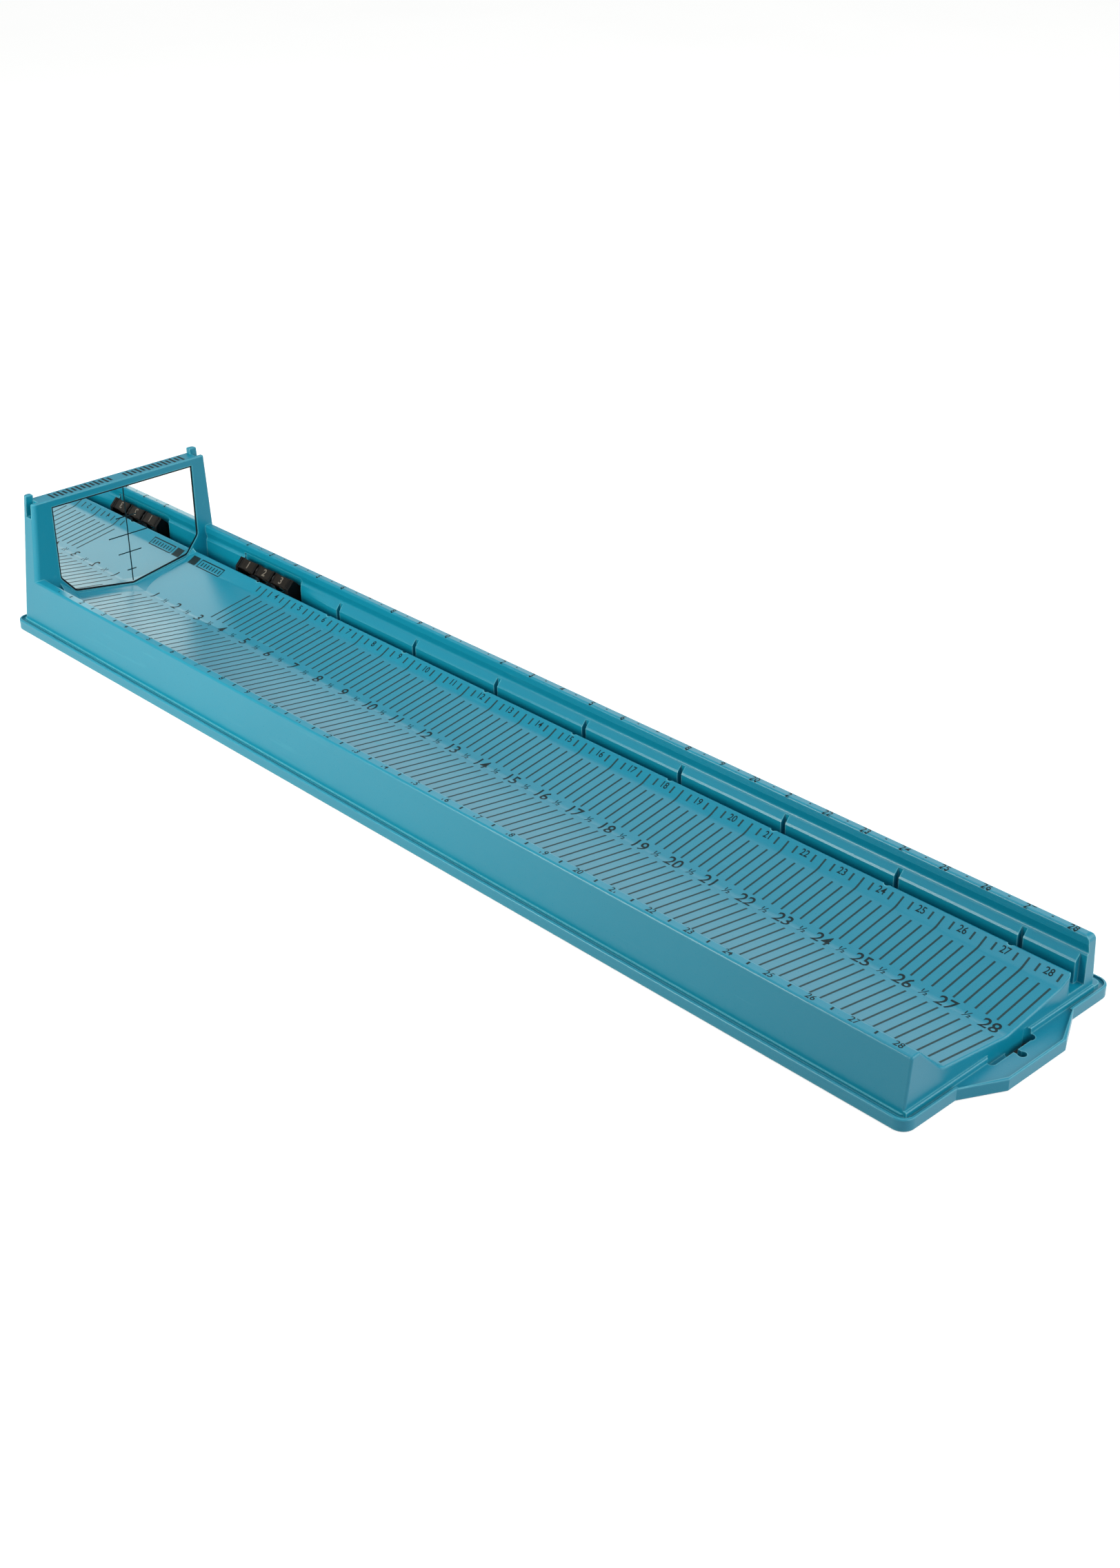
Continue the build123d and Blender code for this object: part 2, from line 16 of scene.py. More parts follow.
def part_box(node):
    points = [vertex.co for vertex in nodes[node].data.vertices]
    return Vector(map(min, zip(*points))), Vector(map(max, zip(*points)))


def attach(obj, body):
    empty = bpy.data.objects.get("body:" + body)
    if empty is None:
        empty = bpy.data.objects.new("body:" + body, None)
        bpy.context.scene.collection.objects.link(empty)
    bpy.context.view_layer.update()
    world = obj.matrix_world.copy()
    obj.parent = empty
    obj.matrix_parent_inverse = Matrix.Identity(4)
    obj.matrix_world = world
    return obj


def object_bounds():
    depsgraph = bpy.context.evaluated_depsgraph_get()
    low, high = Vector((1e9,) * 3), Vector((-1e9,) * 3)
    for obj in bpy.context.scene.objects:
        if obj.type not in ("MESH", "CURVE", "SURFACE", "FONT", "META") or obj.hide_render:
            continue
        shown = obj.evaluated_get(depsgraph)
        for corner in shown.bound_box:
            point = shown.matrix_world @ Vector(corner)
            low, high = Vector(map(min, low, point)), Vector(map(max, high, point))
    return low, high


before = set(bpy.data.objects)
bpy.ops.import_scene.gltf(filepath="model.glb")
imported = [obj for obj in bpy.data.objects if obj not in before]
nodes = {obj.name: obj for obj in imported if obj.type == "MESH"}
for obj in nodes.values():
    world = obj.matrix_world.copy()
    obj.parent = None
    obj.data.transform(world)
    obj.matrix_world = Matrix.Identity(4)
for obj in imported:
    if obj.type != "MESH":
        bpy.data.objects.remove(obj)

cad_box = [list(corner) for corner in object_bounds()]
print("box in mm:", [[round(v * 1000, 1) for v in corner] for corner in cad_box])

# %% [markdown]
# ## Lengths
# Blender works in metres here, while a ruler is easier to think about in millimetres and inches,
# so two small factors do the changing.

# %% Units
MM = 0.001
INCH = 25.4 * MM
LAST_INCH = 28
LINE_STEP = INCH / 4
print("last line at", round(LAST_INCH * INCH / MM, 1), "mm")

# %% [markdown]
# ## Camera
# The board is seen from its open end, a little above, with a normal lens from just over a metre
# away. The camera's three axes are built from the way it looks and a very small roll, which is
# surer than juggling Euler angles.

# %% Camera
def aimed_camera(place, look, roll_degrees, lens):
    data = bpy.data.cameras.new("camera")
    data.lens = lens
    data.sensor_width = 36.0
    data.clip_start, data.clip_end = 0.05, 20.0
    camera = bpy.data.objects.new("camera", data)
    bpy.context.scene.collection.objects.link(camera)
    look = Vector(look).normalized()
    right = look.cross(Vector((0, 0, 1))).normalized()
    up = right.cross(look)
    turn = math.radians(roll_degrees)
    across = math.cos(turn) * right + math.sin(turn) * up
    upward = math.cos(turn) * up - math.sin(turn) * right
    camera.matrix_world = Matrix.Translation(place) @ Matrix((across, upward, -look)).transposed().to_4x4()
    return camera


camera = aimed_camera((1.16314, -0.69271, 0.58696), (-0.639299, 0.597361, -0.484207), -0.51, 48.67)
bpy.context.scene.camera = camera
print("camera stands", round(camera.location.length, 3), "m from the scale's zero")

# %% [markdown]
# ## Floor and light
# A product table: one wide pale sheet under an even sky that is a little brighter at the
# horizon, with large soft lamps. The lamp past the open end shines back off the mirror and makes
# the tray glow there, the one behind gives both slopes of the tray their sheen, and the low one
# in front brightens the front wall near the mirror. The floor glows by itself, so no shadow shows
# on it; a near-black sheet under the board is a painted shadow that keeps that glow out of the
# leash slot.

# %% Floor
def plain_sheet(name, size, z):
    mesh = bpy.data.meshes.new(name)
    h = size / 2
    mesh.from_pydata([(-h, -h, z), (h, -h, z), (h, h, z), (-h, h, z)], [], [(0, 1, 2, 3)])
    sheet = bpy.data.objects.new(name, mesh)
    bpy.context.scene.collection.objects.link(sheet)
    return sheet


FLOOR_Z = cad_box[0][2] - 0.2 * MM
FLOOR_SIZE = 14.0
floor = plain_sheet("floor", FLOOR_SIZE, FLOOR_Z)
floor.visible_diffuse = False

SHEET_INSET = 4 * MM
TAB_REACH = 12 * MM
TAB_Y = (-10 * MM, 22 * MM)


def under_sheet():
    """A near-black sheet on the floor straight under the board: a painted shadow, seen only through the
    leash slot.
    """
    low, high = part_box("tray_shell")
    x0, tab_x = low[0] + SHEET_INSET, high[0] - SHEET_INSET
    y0, y1 = low[1] + SHEET_INSET, high[1] - SHEET_INSET
    x1 = tab_x - TAB_REACH
    z = FLOOR_Z + 0.1 * MM
    outline = [
        (x0, y0), (x1, y0), (x1, TAB_Y[0]), (tab_x, TAB_Y[0]),
        (tab_x, TAB_Y[1]), (x1, TAB_Y[1]), (x1, y1), (x0, y1),
    ]
    mesh = bpy.data.meshes.new("painted_shadow_under_board")
    mesh.from_pydata([(x, y, z) for x, y in outline], [], [tuple(range(len(outline)))])
    sheet = bpy.data.objects.new("painted_shadow_under_board", mesh)
    bpy.context.scene.collection.objects.link(sheet)
    return sheet


shade = under_sheet()
print("floor lies at z =", round(FLOOR_Z, 4))

# %% Lamps
def soft_lamp(name, place, target, size, power, colour=(1, 1, 1)):
    data = bpy.data.lights.new(name, "AREA")
    data.shape = "RECTANGLE"
    data.size, data.size_y = size
    data.energy = power
    data.color = colour
    lamp = bpy.data.objects.new(name, data)
    bpy.context.scene.collection.objects.link(lamp)
    lamp.location = place
    aim = Vector(target) - Vector(place)
    lamp.rotation_euler = aim.to_track_quat("-Z", "Y").to_euler()
    return lamp


CREAM = (1.0, 0.99, 0.86)
WARM = (1.0, 0.96, 0.85)
PALE = (1.0, 0.99, 0.92)
soft_lamp("lamp_over", (0.30, -0.10, 2.0), (0.30, 0.0, 0.02), (1.5, 1.5), 13.0)
soft_lamp("lamp_front_left", (0.12, -0.63, 0.26), (0.12, -0.07, 0.02), (0.5, 0.35), 5.6, CREAM)
soft_lamp("lamp_past_open_end", (1.78, 0.99, 0.82), (0.0, 0.0, 0.03), (1.2, 1.3), 15.5, WARM)
soft_lamp("lamp_back_left", (-0.40, 1.35, 0.80), (0.55, 0.0, 0.02), (1.6, 1.4), 9.5, PALE)
soft_lamp("lamp_near_end", (1.45, -0.02, 0.40), (0.72, 0.0, 0.02), (0.6, 0.45), 3.0)


def studio_sky(horizon, zenith, ground):
    world = bpy.data.worlds.new("studio")
    bpy.context.scene.world = world
    world.use_nodes = True
    nodes_of = world.node_tree.nodes
    links = world.node_tree.links
    place = nodes_of.new("ShaderNodeTexCoord")
    split = nodes_of.new("ShaderNodeSeparateXYZ")
    links.new(place.outputs["Generated"], split.inputs[0])
    ramp = nodes_of.new("ShaderNodeValToRGB")
    height = nodes_of.new("ShaderNodeMapRange")
    height.inputs["From Min"].default_value = -1.0
    links.new(split.outputs["Z"], height.inputs["Value"])
    links.new(height.outputs[0], ramp.inputs["Fac"])
    stops = ramp.color_ramp.elements
    stops[0].position, stops[0].color = 0.48, (*ground, 1)
    stops[1].position, stops[1].color = 0.52, (*horizon, 1)
    top = stops.new(0.85)
    top.color = (*zenith, 1)
    links.new(ramp.outputs["Color"], nodes_of["Background"].inputs["Color"])
    return world


studio_sky(horizon=(0.58, 0.585, 0.55), zenith=(0.50, 0.51, 0.51), ground=(0.22, 0.22, 0.23))
bpy.context.scene.view_settings.view_transform = "Standard"

# %% [markdown]
# ## Tools for materials
# Every material below is a small graph of nodes. They could be clicked together in the shader
# editor, but written out they can be read and repeated, so `Tree` adds a node with its values in
# one line and wires it, and `new_group` makes an empty node group with named sockets.

# %% A short way to wire nodes
class Tree:
    def __init__(self, tree):
        self.tree = tree

    def add(self, kind, values=None, **settings):
        node = self.tree.nodes.new(kind)
        for key, value in settings.items():
            setattr(node, key, value)
        for key, value in (values or {}).items():
            if isinstance(value, bpy.types.NodeSocket):
                self.tree.links.new(value, node.inputs[key])
            else:
                node.inputs[key].default_value = value
        return node

    def wire(self, source, target):
        self.tree.links.new(source, target)


def new_group(name, inputs, outputs):
    group = bpy.data.node_groups.new(name, "ShaderNodeTree")
    for label, kind, value in inputs:
        socket = group.interface.new_socket(name=label, in_out="INPUT", socket_type=kind)
        socket.default_value = value
    for label, kind in outputs:
        group.interface.new_socket(name=label, in_out="OUTPUT", socket_type=kind)
    tree = Tree(group)
    return group, tree, tree.add("NodeGroupInput"), tree.add("NodeGroupOutput")


# %% [markdown]
# ## Grain, scuffs, and worn edges with a painted highlight
# A mould leaves a fine spark-eroded grain, the resin drifts a little in tone, hands and fish
# boxes leave scuffs, and edges wear paler; that paler edge colour also stands in for the light
# caught on rounded edges, so it is partly a painted highlight. Images could carry all this, but
# noise made from the object's own coordinates needs no unwrapping and never repeats. Each effect
# is one node group, so that every plastic can use it with its own amounts.

# %% Moulded grain: a mask of fine texture and a slow drift of tone
def make_grain_group():
    group, t, given, out = new_group(
        "moulded_grain",
        [("Grain size", "NodeSocketFloat", 900.0), ("Drift size", "NodeSocketFloat", 7.0)],
        [("Grain", "NodeSocketFloat"), ("Drift", "NodeSocketFloat")],
    )
    place = t.add("ShaderNodeTexCoord").outputs["Object"]
    fine = t.add("ShaderNodeTexNoise", {"Vector": place, "Scale": given.outputs["Grain size"],
                                        "Detail": 2.0, "Roughness": 0.6})
    slow = t.add("ShaderNodeTexNoise", {"Vector": place, "Scale": given.outputs["Drift size"],
                                        "Detail": 3.0, "Roughness": 0.5})
    t.wire(fine.outputs["Fac"], out.inputs["Grain"])
    t.wire(slow.outputs["Fac"], out.inputs["Drift"])
    return group


grain_group = make_grain_group()
print("group:", grain_group.name)

# %% Scuffs: thin stretched scratches and cloudy rubbed patches
def make_scuff_group():
    group, t, given, out = new_group(
        "handling_scuffs",
        [("Amount", "NodeSocketFloat", 0.5)],
        [("Scuffs", "NodeSocketFloat")],
    )
    place = t.add("ShaderNodeTexCoord").outputs["Object"]
    turned = t.add("ShaderNodeMapping", {"Vector": place, "Rotation": (0, 0, 0.35), "Scale": (18, 260, 260)})
    streak = t.add("ShaderNodeTexNoise", {"Vector": turned.outputs[0], "Scale": 1.0, "Detail": 3.0})
    thin = t.add("ShaderNodeMapRange", {"Value": streak.outputs["Fac"], "From Min": 0.62, "From Max": 0.75})
    cloud = t.add("ShaderNodeTexNoise", {"Vector": place, "Scale": 11.0, "Detail": 4.0})
    patch = t.add("ShaderNodeMapRange", {"Value": cloud.outputs["Fac"], "From Min": 0.48, "From Max": 0.72})
    both = t.add("ShaderNodeMath", {0: thin.outputs[0], 1: patch.outputs[0]}, operation="MULTIPLY")
    scaled = t.add("ShaderNodeMath", {0: both.outputs[0], 1: given.outputs["Amount"]}, operation="MULTIPLY",
                   use_clamp=True)
    t.wire(scaled.outputs[0], out.inputs["Scuffs"])
    return group


scuff_group = make_scuff_group()
print("group:", scuff_group.name)

# %% Edge wear and painted edge highlight: where the rounded normal leaves the flat one
def make_edge_group():
    group, t, given, out = new_group(
        "edge_wear_and_highlight",
        [("Gain", "NodeSocketFloat", 4.0)],
        [("Edge", "NodeSocketFloat")],
    )
    soft = t.add("ShaderNodeBevel", {"Radius": 1.2 * MM}, samples=4)
    hard = t.add("ShaderNodeNewGeometry")
    dot = t.add("ShaderNodeVectorMath", {0: soft.outputs[0], 1: hard.outputs["Normal"]},
                operation="DOT_PRODUCT")
    turned = t.add("ShaderNodeMath", {0: 1.0, 1: dot.outputs["Value"]}, operation="SUBTRACT")
    gain = t.add("ShaderNodeMath", {0: turned.outputs[0], 1: given.outputs["Gain"]}, operation="MULTIPLY",
                 use_clamp=True)
    t.wire(gain.outputs[0], out.inputs["Edge"])
    return group


edge_wear_highlight_group = make_edge_group()
print("group:", edge_wear_highlight_group.name)

# %% [markdown]
# ## The plastics
# The body is one teal resin with a soft sheen; the wheels and their carrier are black, the seal
# is rubber, the float blocks and the mirror's pad are foam. They differ only in colour, roughness
# and grain, so one function makes them all instead of five hand-built materials. The shine is
# set straight on the shader, since it is the same all over.

# %% One plastic, many moods
def new_material(name):
    material = bpy.data.materials.new(name)
    material.use_nodes = True
    material.node_tree.nodes.clear()
    t = Tree(material.node_tree)
    shader = t.add("ShaderNodeBsdfPrincipled")
    out = t.add("ShaderNodeOutputMaterial")
    t.wire(shader.outputs[0], out.inputs["Surface"])
    return material, t, shader


def group_node(t, group, **values):
    node = t.add("ShaderNodeGroup", node_tree=group)
    for key, value in values.items():
        node.inputs[key.replace("_", " ")].default_value = value
    return node


def mix(t, amount, low, high):
    node = t.add("ShaderNodeMix", data_type="RGBA")
    sockets = [s for s in node.inputs if s.enabled]
    for socket, value in zip(sockets, (amount, low, high)):
        if isinstance(value, bpy.types.NodeSocket):
            t.wire(value, socket)
        elif socket.type == "RGBA":
            socket.default_value = (*value, 1.0)
        else:
            socket.default_value = value
    return [s for s in node.outputs if s.enabled][0]


EDGE_WEAR_HIGHLIGHT_SHARE = 0.8
ROUGH_SPREAD = 0.06


def plastic(name, dark, light, worn_and_highlight, roughness, grain_size, grain_height, scuffs, shine=0.5):
    material, t, shader = new_material(name)
    grain = group_node(t, grain_group, Grain_size=grain_size)
    marks = group_node(t, scuff_group, Amount=scuffs)
    edge = group_node(t, edge_wear_highlight_group)
    body = mix(t, grain.outputs["Drift"], dark, light)
    rubbed = mix(t, marks.outputs["Scuffs"], body, worn_and_highlight)
    # Painted highlight: edges are lightened toward the worn colour, partly as wear and partly to stand in
    # for light caught on rounded edges.
    edge_part = t.add("ShaderNodeMath", {0: edge.outputs["Edge"], 1: EDGE_WEAR_HIGHLIGHT_SHARE}, operation="MULTIPLY")
    edged = mix(t, edge_part.outputs[0], rubbed, worn_and_highlight)
    t.wire(edged, shader.inputs["Base Color"])
    rough = t.add("ShaderNodeMapRange", {"Value": grain.outputs["Grain"],
                                         "To Min": roughness - ROUGH_SPREAD,
                                         "To Max": roughness + ROUGH_SPREAD})
    dulled = t.add("ShaderNodeMath", {0: rough.outputs[0], 1: marks.outputs["Scuffs"]}, operation="ADD",
                   use_clamp=True)
    t.wire(dulled.outputs[0], shader.inputs["Roughness"])
    bump = t.add("ShaderNodeBump", {"Height": grain.outputs["Grain"], "Distance": grain_height,
                                    "Strength": 0.6})
    t.wire(bump.outputs[0], shader.inputs["Normal"])
    shader.inputs["Specular IOR Level"].default_value = shine
    return material


teal = plastic(
    "teal_moulding", (0.0018, 0.178, 0.278), (0.0030, 0.200, 0.306), (0.14, 0.46, 0.54),
    roughness=0.30, grain_size=1500.0, grain_height=0.00004, scuffs=0.18, shine=0.36,
)
black = plastic(
    "black_moulding", (0.0015, 0.0015, 0.002), (0.004, 0.004, 0.004), (0.02, 0.018, 0.017),
    roughness=0.5, grain_size=1800.0, grain_height=0.00004, scuffs=0.2, shine=0.1,
)
rubber = plastic(
    "seal_rubber", (0.012, 0.012, 0.013), (0.02, 0.02, 0.021), (0.05, 0.05, 0.05),
    roughness=0.75, grain_size=2500.0, grain_height=0.00003, scuffs=0.2,
)
pad_tape = plastic(
    "pad_tape", (0.60, 0.60, 0.56), (0.70, 0.70, 0.66), (0.8, 0.8, 0.76),
    roughness=0.85, grain_size=700.0, grain_height=0.0001, scuffs=0.1,
)
foam = plastic(
    "float_foam", (0.72, 0.70, 0.62), (0.82, 0.80, 0.73), (0.9, 0.88, 0.8),
    roughness=0.9, grain_size=320.0, grain_height=0.0004, scuffs=0.1,
)
print("plastics:", [m.name for m in (teal, black, rubber, pad_tape, foam)])

# %% [markdown]
# ## Steel, mirror and inks
# Screws, axle and springs are drawn steel, with fine lines along the wire. The mirror is a bright
# metal with hardly any roughness, which reflects more simply than real glass over silver. The
# inks are dull, a little uneven, and never quite black.

# %% Steel, mirror and ink
def steel_material():
    material, t, shader = new_material("drawn_steel")
    place = t.add("ShaderNodeTexCoord").outputs["Object"]
    along = t.add("ShaderNodeMapping", {"Vector": place, "Scale": (60, 1800, 1800)})
    lines = t.add("ShaderNodeTexNoise", {"Vector": along.outputs[0], "Scale": 1.0, "Detail": 2.0})
    tone = mix(t, lines.outputs["Fac"], (0.42, 0.43, 0.45), (0.66, 0.67, 0.69))
    t.wire(tone, shader.inputs["Base Color"])
    rough = t.add("ShaderNodeMapRange", {"Value": lines.outputs["Fac"], "To Min": 0.2, "To Max": 0.42})
    t.wire(rough.outputs[0], shader.inputs["Roughness"])
    bump = t.add("ShaderNodeBump", {"Height": lines.outputs["Fac"], "Distance": 0.00002, "Strength": 0.5})
    t.wire(bump.outputs[0], shader.inputs["Normal"])
    shader.inputs["Metallic"].default_value = 1.0
    return material


def mirror_material():
    material, t, shader = new_material("silvered_mirror")
    place = t.add("ShaderNodeTexCoord").outputs["Object"]
    haze = t.add("ShaderNodeTexNoise", {"Vector": place, "Scale": 24.0, "Detail": 4.0})
    tone = mix(t, haze.outputs["Fac"], (0.86, 0.90, 0.90), (0.93, 0.955, 0.95))
    t.wire(tone, shader.inputs["Base Color"])
    rough = t.add("ShaderNodeMapRange", {"Value": haze.outputs["Fac"], "From Min": 0.45, "To Min": 0.0,
                                         "To Max": 0.03})
    t.wire(rough.outputs[0], shader.inputs["Roughness"])
    wave = t.add("ShaderNodeTexNoise", {"Vector": place, "Scale": 30.0, "Detail": 1.0})
    bump = t.add("ShaderNodeBump", {"Height": wave.outputs["Fac"], "Distance": 0.00003, "Strength": 0.3})
    t.wire(bump.outputs[0], shader.inputs["Normal"])
    shader.inputs["Metallic"].default_value = 1.0
    return material


def ink_material(name, dark, light, shine):
    material, t, shader = new_material(name)
    place = t.add("ShaderNodeTexCoord").outputs["Object"]
    blot = t.add("ShaderNodeTexNoise", {"Vector": place, "Scale": 900.0, "Detail": 3.0})
    tone = mix(t, blot.outputs["Fac"], dark, light)
    t.wire(tone, shader.inputs["Base Color"])
    rough = t.add("ShaderNodeMapRange", {"Value": blot.outputs["Fac"], "To Min": 0.4, "To Max": 0.6})
    t.wire(rough.outputs[0], shader.inputs["Roughness"])
    shader.inputs["Specular IOR Level"].default_value = shine
    return material


def floor_material(name, low, high, glow):
    material, t, shader = new_material(name)
    place = t.add("ShaderNodeTexCoord").outputs["Object"]
    tooth = t.add("ShaderNodeTexNoise", {"Vector": place, "Scale": 3.0, "Detail": 3.0})
    tone = mix(t, tooth.outputs["Fac"], (low, low, low), (high, high, high))
    t.wire(tone, shader.inputs["Base Color"])
    t.wire(tone, shader.inputs["Emission Color"])
    shader.inputs["Emission Strength"].default_value = glow
    shader.inputs["Roughness"].default_value = 0.8
    return material


steel = steel_material()
mirror = mirror_material()
ink = ink_material("scale_ink", (0.002, 0.014, 0.020), (0.006, 0.024, 0.030), 0.12)
line_ink = ink_material("line_ink", (0.008, 0.036, 0.046), (0.016, 0.050, 0.060), 0.15)
glyph_ink = ink_material("digit_ink", (0.09, 0.076, 0.062), (0.15, 0.13, 0.11), 0.2)
face_ink = ink_material("wheel_face", (0.007, 0.0055, 0.0045), (0.016, 0.013, 0.011), 0.1)
frame_ink = ink_material("frame_ink", (0.002, 0.003, 0.004), (0.006, 0.007, 0.009), 0.2)
floor.data.materials.append(floor_material("pale_table", 0.60, 0.62, 1.0))
# Painted shadow: the sheet under the board is near black and does not glow, standing in for the shade under
# the board.
shade.data.materials.append(floor_material("shaded_table", 0.03, 0.05, 0.0))
print("materials:", len(bpy.data.materials))

# %% [markdown]
# ## Which solid gets which finish
# The solids stay as they are and only their material slots are filled. A table from the start of
# a name to a finish keeps repeated pieces, such as the five float blocks, on one line.

# %% Give each solid its finish
finishes = {
    "tray_shell": teal, "base_plate": teal, "base_seal": rubber, "base_screws": steel,
    "mirror_panel": mirror, "mirror_border": frame_ink, "mirror_pad": pad_tape,
    "id_cradle": black, "wheel_axle": steel,
    "wheel_spacer": rubber, "detent_spring": steel, "float_block": foam, "id_wheel": black,
}
for name, obj in nodes.items():
    kind = next(key for key in finishes if name.startswith(key))
    obj.data.materials.clear()
    obj.data.materials.append(finishes[kind])
print("finished:", sorted(nodes))

# %% [markdown]
# ## Printing on the moulding
# The scale is printed ink, so each mark is a very thin film that follows the surface. Marks are
# drawn flat, cut along the tray's folds, and then every point is dropped straight down on to the
# moulding by a ray.

# %% Drop flat marks on to the moulding
def surface_of(obj):
    graph = bpy.context.evaluated_depsgraph_get()
    return BVHTree.FromObject(obj, graph)


moulding = surface_of(nodes["tray_shell"])
FILM = 0.05 * MM
FOLDS = (-48.8, -47.0, -1.6, -0.8, 0.0, 0.8, 1.6, 39.4, 41.0, 42.6)


def lay_film(bm, lift=FILM, cuts=FOLDS):
    for y in cuts:
        geometry = bm.verts[:] + bm.edges[:] + bm.faces[:]
        bmesh.ops.bisect_plane(bm, geom=geometry, plane_co=(0, y * MM, 0), plane_no=(0, 1, 0))
    for vertex in bm.verts:
        hit = moulding.ray_cast(Vector((vertex.co.x, vertex.co.y, 0.2)), Vector((0, 0, -1)))
        if hit[0] is not None:
            vertex.co = hit[0] + hit[1] * lift


def film_object(name, bm, material, body="board"):
    mesh = bpy.data.meshes.new(name)
    bm.to_mesh(mesh)
    bm.free()
    obj = bpy.data.objects.new(name, mesh)
    bpy.context.scene.collection.objects.link(obj)
    mesh.materials.append(material)
    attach(obj, body)
    return obj


def add_patch(bm, x0, x1, y0, y1):
    corners = [(x0, y0), (x1, y0), (x1, y1), (x0, y1)]
    bm.faces.new([bm.verts.new((x, y, 0)) for x, y in corners])


def add_bar(bm, x, y0, y1, width):
    add_patch(bm, x - width / 2, x + width / 2, y0, y1)


print("the moulding is ready for printing")

# %% [markdown]
# ## The scale's lines
# A line crosses each slope of the tray every quarter of an inch. On the far slope the half-inch
# line runs on up the band behind, and shorter ticks stand there between the numerals. The lines
# could be a striped texture, but real strips stay sharp at any distance and in the export.

# %% Quarter-inch lines
LINE_W = 1.15 * MM
SILL_END = 16.5 * MM
BACK_START = 78 * MM
FRONT_OUTER = -46 * MM
FRONT_INNER = -5.5 * MM
SILL_INNER = -17 * MM
BACK_INNER = 6 * MM
BACK_OUTER = 38 * MM
HALF_OUTER = 47.5 * MM
TICK_Y = (42.8 * MM, 47.2 * MM)


def quarter_lines():
    bm = bmesh.new()
    for k in range(2, LAST_INCH * 4 + 2):
        x = k * LINE_STEP
        add_bar(bm, x, FRONT_OUTER, FRONT_INNER if x > SILL_END else SILL_INNER, LINE_W)
        if x > BACK_START:
            add_bar(bm, x, BACK_INNER, HALF_OUTER if k % 4 == 2 else BACK_OUTER, LINE_W)
            if k % 2:
                add_bar(bm, x, *TICK_Y, LINE_W)
    return bm


bm = quarter_lines()
lay_film(bm)
lines = film_object("quarter_inch_lines", bm, line_ink)
print("line faces:", len(lines.data.polygons))

# %% [markdown]
# ## Numerals
# Four rows number the inches: the large ones in the valley, with small halves between, and small
# ones along the rim, the fence and the band. Text curves made with Blender's own font are turned
# into meshes, so that they can be dropped on to the moulding like the lines.

# %% Numerals and ticks
NUMERAL_BOLD = 0.012


def numeral(text, size, x, y, bold=NUMERAL_BOLD):
    curve = bpy.data.curves.new("numeral", "FONT")
    curve.body = text
    curve.size = size
    curve.align_x = "CENTER"
    curve.align_y = "CENTER"
    curve.resolution_u = 3
    curve.offset = size * bold
    obj = bpy.data.objects.new("numeral", curve)
    mesh = bpy.data.meshes.new_from_object(obj)
    mesh.transform(Matrix.Translation((x, y, 0)))
    bpy.data.objects.remove(obj)
    return mesh


def number_row(name, y, size, first=1, half=None, tick=None):
    bm = bmesh.new()
    for inch in range(first, LAST_INCH + 1):
        words = [(str(inch), size, inch * INCH)]
        if half and inch < LAST_INCH:
            words.append(("\u00bd", half, (inch + 0.5) * INCH))
        for text, height, x in words:
            mesh = numeral(text, height, x, y)
            bm.from_mesh(mesh)
            bpy.data.meshes.remove(mesh)
    if tick:
        for k in range(first, LAST_INCH):
            add_bar(bm, (k + 0.5) * INCH, y - tick / 2, y + tick / 2, LINE_W)
    lay_film(bm)
    return film_object(name, bm, ink)


number_row("valley_numbers", 0.3 * MM, 10.6 * MM, half=6.2 * MM)
number_row("rim_numbers", -68.7 * MM, 5.4 * MM, tick=2.4 * MM)
number_row("fence_numbers", 62.4 * MM, 5.6 * MM, tick=2.4 * MM)
number_row("back_numbers", 45.4 * MM, 5.4 * MM, first=4)
print("numbers printed")

# %% [markdown]
# ## Blank label and the bar's tick row
# Near the mirror sits a small label: a solid square beside an outlined field, left blank here
# but for a row of short strokes. The bar over the mirror carries two plain runs of ticks.

# %% Label and tick rows
LABEL_Y = (40.0 * MM, 46.6 * MM)
SQUARE_X = (7.0 * MM, 15.0 * MM)
FIELD_X = (17.0 * MM, 43.0 * MM)
OUTLINE_W = 0.8 * MM
STROKES = 7
STROKE_START = 3.0 * MM
STROKE_W = 1.1 * MM
STROKE_PITCH = 3.2 * MM
STROKE_INSET = 1.8 * MM


def label_marks():
    bm = bmesh.new()
    low, high = LABEL_Y
    left, right = FIELD_X
    line = OUTLINE_W
    add_patch(bm, *SQUARE_X, low, high)
    add_patch(bm, left, right, low, low + line)
    add_patch(bm, left, right, high - line, high)
    add_patch(bm, left, left + line, low + line, high - line)
    add_patch(bm, right - line, right, low + line, high - line)
    for k in range(STROKES):
        x = left + STROKE_START + k * STROKE_PITCH
        add_patch(bm, x, x + STROKE_W, low + STROKE_INSET, high - STROKE_INSET)
    return bm


BAR_X = -4.2 * MM
BAR_TICKS = 14
BAR_TICK_START = 6.0 * MM
BAR_TICK_W = 1.7 * MM
BAR_TICK_PITCH = 3.4 * MM
BAR_TICK_REACH = (3.0 * MM, 4.2 * MM)


def bar_ticks():
    bm = bmesh.new()
    for side in (-1, 1):
        for k in range(BAR_TICKS):
            y = side * (BAR_TICK_START + k * BAR_TICK_PITCH)
            reach = BAR_TICK_REACH[k % 2]
            add_patch(bm, BAR_X - reach, BAR_X + reach, y - BAR_TICK_W / 2, y + BAR_TICK_W / 2)
    return bm


for name, bm in (("label", label_marks()), ("bar_ticks", bar_ticks())):
    lay_film(bm)
    film_object(name, bm, ink)
print("label and tick rows printed")

# %% [markdown]
# ## Numbers on the wheels
# Each wheel has four flats, and each flat has a slightly paler panel with one digit on it. Panel
# and digit ride on their wheel, so a three-figure tag is dialled by turning the three wheels.
# They are thin films like the scale, but placed by a matrix instead of a ray, since every flat
# is the first one turned about the axle.

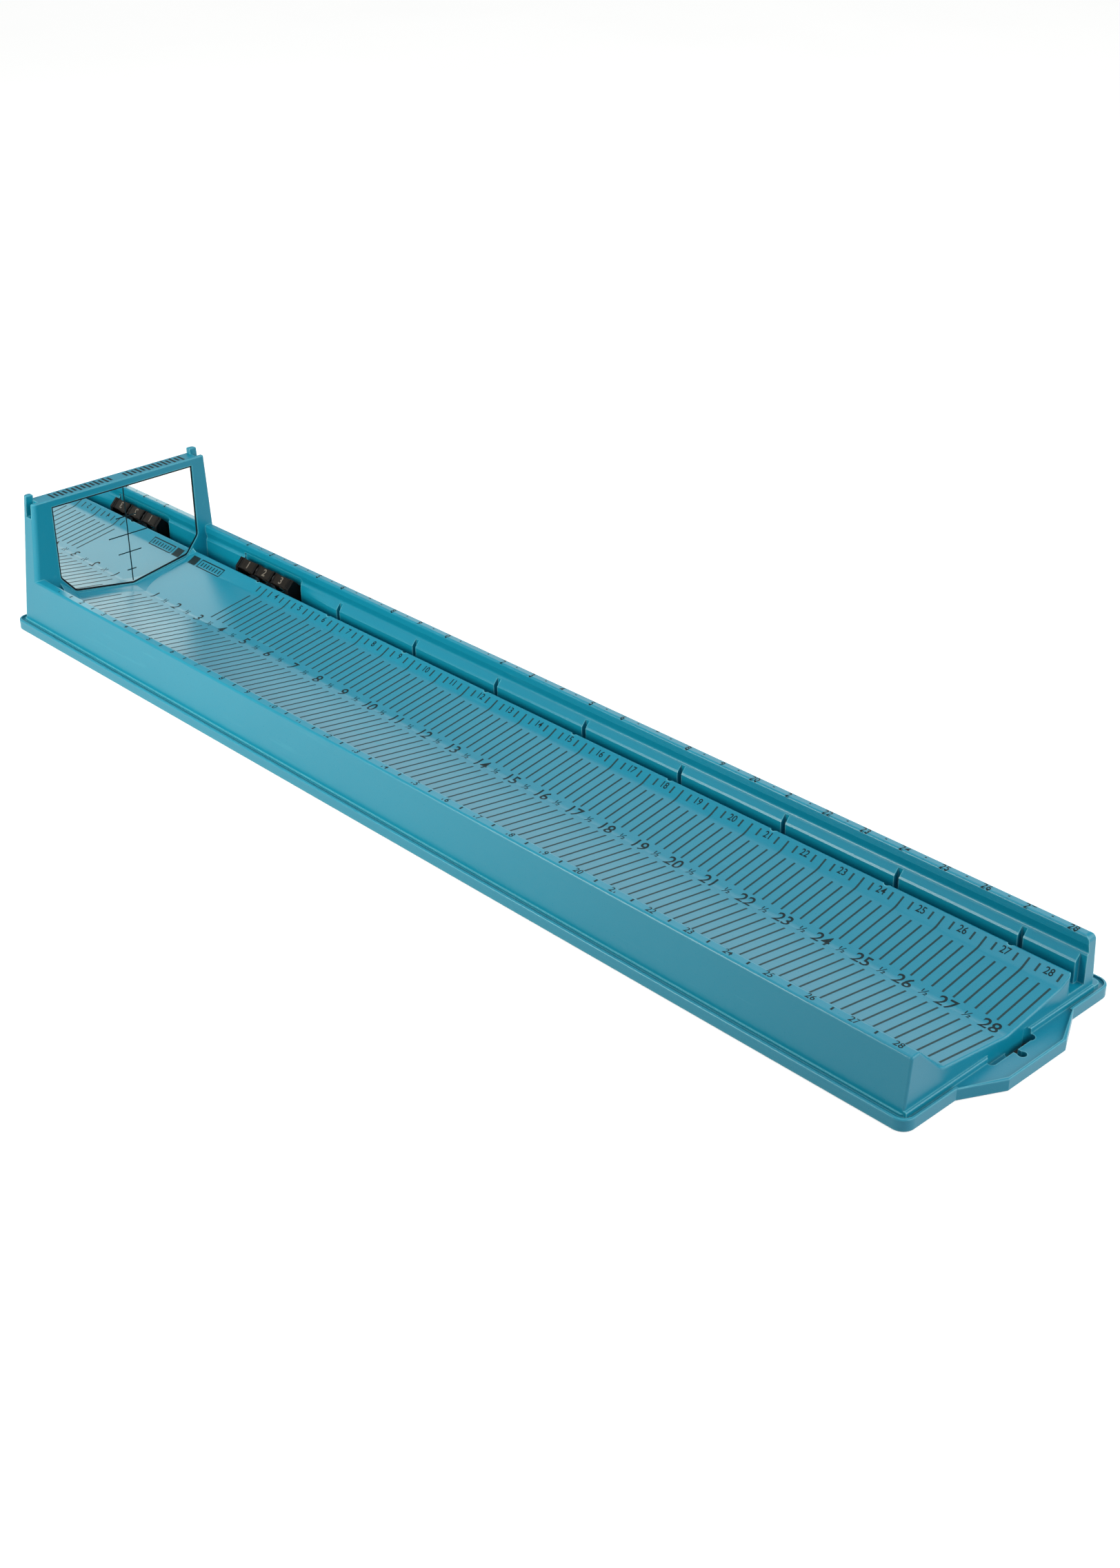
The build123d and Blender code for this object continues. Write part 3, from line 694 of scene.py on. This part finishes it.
# %% Wheel faces
FLATS = 4
FIRST_FLAT = 45            # degrees from straight up to the flat that faces forward
BARREL_SINK = 0.45 * MM    # the barrel's corners lie this much inside the collars'
PANEL_HALF_X, PANEL_HALF_Y = 6.3 * MM, 3.1 * MM
DIGIT_SIZE = 7.0 * MM
DIGIT_BOLD = 0.02


def flat_matrix(centre, apothem, side):
    turn = Matrix.Rotation(math.radians(FIRST_FLAT + 360 / FLATS * side), 4, "X")
    return Matrix.Translation(centre) @ turn @ Matrix.Translation((0, 0, apothem))


def dress_wheel(number):
    low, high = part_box(f"id_wheel_{number}")
    centre = [(a + b) / 2 for a, b in zip(low, high)]
    corner = (high[2] - low[2]) / 2 - BARREL_SINK
    apothem = corner * math.cos(math.pi / FLATS)
    panels, digits = bmesh.new(), bmesh.new()
    hx, hy = PANEL_HALF_X, PANEL_HALF_Y
    corners = [(-hx, -hy), (hx, -hy), (hx, hy), (-hx, hy)]
    for side in range(FLATS):
        place = flat_matrix(centre, apothem + FILM, side)
        panels.faces.new([panels.verts.new(place @ Vector((x, y, 0))) for x, y in corners])
        mesh = numeral(str(number + side), DIGIT_SIZE, 0, 0, bold=DIGIT_BOLD)
        mesh.transform(flat_matrix(centre, apothem + 2 * FILM, side))
        digits.from_mesh(mesh)
        bpy.data.meshes.remove(mesh)
    film_object(f"wheel_panels_{number}", panels, face_ink, f"wheel_{number}")
    film_object(f"wheel_digits_{number}", digits, glyph_ink, f"wheel_{number}")


for number in (1, 2, 3):
    dress_wheel(number)
print("wheels numbered")

# %% [markdown]
# ## Cross lines on the mirror
# The mirror carries a thin upright line with four cross ticks half an inch apart, to read a
# fish's height by. They are flat strips just proud of the glass.

# %% Mirror lines
UPRIGHT_HALF_W = 0.4
UPRIGHT_Z = (15.8, 82.2)
CROSS_HALF_W = 0.35
CROSS_TICKS = ((62.1, 8.0), (49.4, 15.0), (36.7, 9.0), (24.2, 3.5))    # height and half length in mm


def mirror_lines():
    bm = bmesh.new()
    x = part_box("mirror_panel")[1][0] + FILM
    bars = [(-UPRIGHT_HALF_W, UPRIGHT_HALF_W, *UPRIGHT_Z)]
    for z, half in CROSS_TICKS:
        bars.append((-half, half, z - CROSS_HALF_W, z + CROSS_HALF_W))
    for y0, y1, z0, z1 in bars:
        corners = [(y0, z0), (y1, z0), (y1, z1), (y0, z1)]
        bm.faces.new([bm.verts.new((x, cy * MM, cz * MM)) for cy, cz in corners])
    return bm


film_object("mirror_cross_lines", mirror_lines(), ink)
print("mirror lines drawn")
